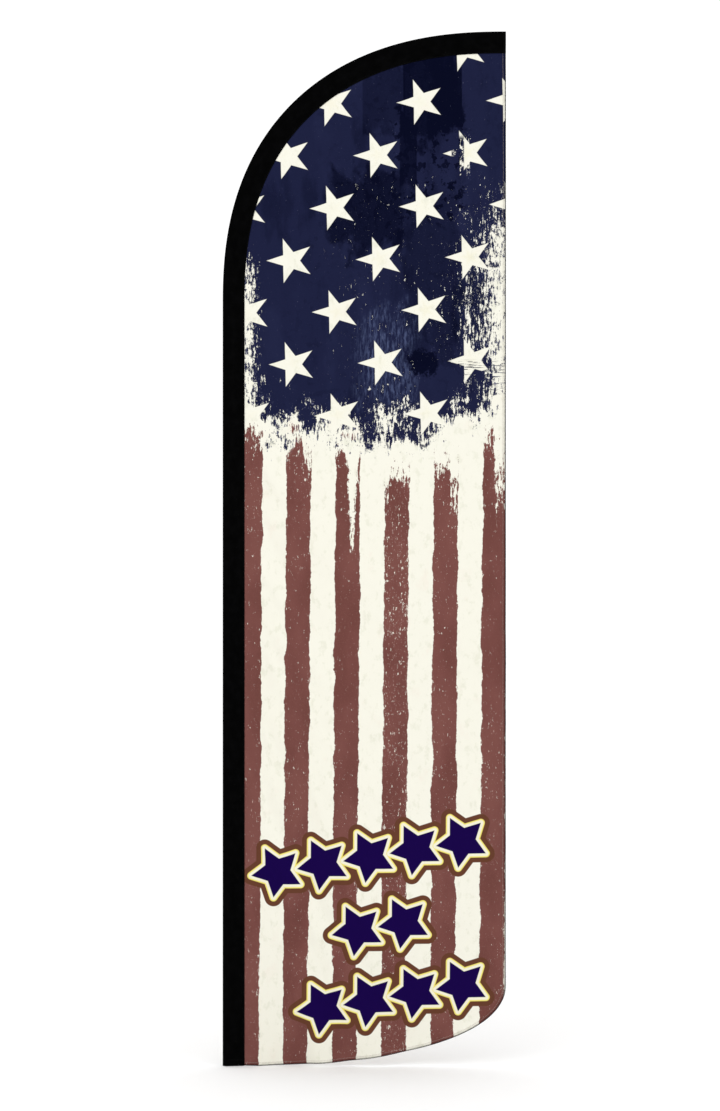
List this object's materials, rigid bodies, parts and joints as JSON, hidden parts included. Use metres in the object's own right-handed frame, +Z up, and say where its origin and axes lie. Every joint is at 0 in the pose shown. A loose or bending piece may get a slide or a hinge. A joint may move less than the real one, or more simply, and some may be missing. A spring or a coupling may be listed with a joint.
{
  "type": "feather flag",
  "caption": "Tall feather flag: a straight pole sleeve that arcs over the top, a printed cloth panel with a curved foot, and the bending pole and turning spindle hidden in the sleeve.",
  "frame": {"origin": "centre of the spindle's foot on the pole's axis, which is where the stud hole opens", "axes": "+Z up along the pole, +X from the pole to the fly edge, the printed front faces -Y"},
  "size_m": [0.96, 0.0244, 3.505],
  "materials": {
    "zinc_steel": "zinc plated, fine turning lines",
    "aluminium": "drawn, satin",
    "black_nylon": "moulded, matte",
    "white_acetal": "machined, slightly shiny",
    "fibreglass": "pultruded, lengthwise grain",
    "pocket_webbing": "ballistic nylon webbing",
    "sleeve_cloth": "plain black polyester, matte",
    "printed_cloth": "knitted polyester, dye printed, matte",
    "hem_cloth": "folded and stitched edge, dark thread"
  },
  "bodies": {
    "base": {"spindle": "zinc_steel", "spindle_nose": "black_nylon"},
    "turntable": {"thrust_washer": "white_acetal"},
    "lower_pole": {"lower_tube": "aluminium", "foot_bush": "black_nylon", "spindle_bush": "black_nylon"},
    "upper_pole": {"upper_tube": "aluminium", "stop_ring": "black_nylon", "rod_reducer": "black_nylon"},
    "flag": {"flex_rod_lower": "fibreglass", "rod_ferrule": "aluminium", "flex_rod_tip": "fibreglass", "tip_cap": "black_nylon", "tip_pocket": "pocket_webbing", "pole_sleeve": "sleeve_cloth", "panel_hoist_side": "printed_cloth"},
    "fly_corner": {"panel_fly_side": "printed_cloth", "fly_hem": "hem_cloth", "bottom_hem": "hem_cloth"}
  },
  "joints": [
    {"name": "swivel", "type": "hinge", "parent": "base", "child": "turntable", "pos_m": [0, 0, 0.0083], "axis": [0, 0, 1], "continuous": true},
    {"name": "pole_lift", "type": "slide", "parent": "turntable", "child": "lower_pole", "axis": [0, 0, 1], "range_m": [0, 0.18]},
    {"name": "tube_pull", "type": "slide", "parent": "lower_pole", "child": "upper_pole", "axis": [0, 0, 1], "range_m": [0, 0.09]},
    {"name": "rod_pull", "type": "slide", "parent": "upper_pole", "child": "flag", "axis": [0, 0, 1], "range_m": [0, 0.055]},
    {"name": "fly_sway", "type": "hinge", "parent": "flag", "child": "fly_corner", "pos_m": [0.0619, 0, 0], "axis": [0.25, 0, 0.9683], "range_deg": [-25, 25]}
  ]
}
